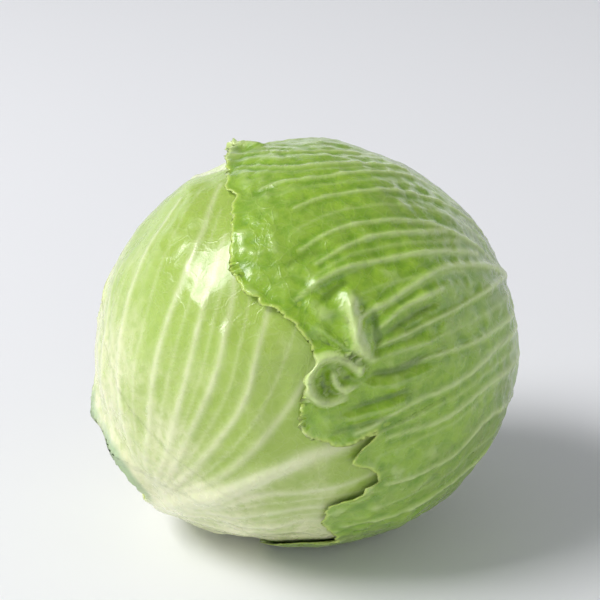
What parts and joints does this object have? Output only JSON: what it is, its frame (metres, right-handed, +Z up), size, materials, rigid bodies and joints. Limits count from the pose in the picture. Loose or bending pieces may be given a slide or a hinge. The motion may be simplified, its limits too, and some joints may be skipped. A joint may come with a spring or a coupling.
{
  "type": "white cabbage",
  "caption": "Round head of white cabbage lying on its side: veined wrapper leaves nested over a tight heart, with a cut stem stump.",
  "frame": {"origin": "on the surface the head rests on, under the middle of its bounding box", "axes": "+Z up; -Y is the side that faces the viewer in the reference view; the stem stump points to the back left and a little down, the crown to the front right"},
  "size_m": [0.1892, 0.179, 0.1754],
  "materials": {
    "outer_leaf": null,
    "pale_leaf": "waxy pale yellow-green leaf with cream ribs, half-gloss; leather stands in for leaf",
    "inner_leaf": "pale green-cream leaf, half-gloss; leather stands in for leaf",
    "heart": "cream-green, packed leaves; leather stands in for leaf",
    "stump": "matt cut stem, cream with a dry tan face; wood stands in for the woody stem"
  },
  "bodies": {
    "root": {"wrapper_leaf_1": "outer_leaf", "wrapper_leaf_2": "pale_leaf", "wrapper_leaf_3": "inner_leaf", "wrapper_leaf_4": "inner_leaf", "wrapper_leaf_5": "inner_leaf", "wrapper_leaf_6": "inner_leaf", "wrapper_leaf_7": "inner_leaf", "wrapper_leaf_8": "inner_leaf", "heart": "heart", "stem_stump": "stump"}
  },
  "joints": []
}
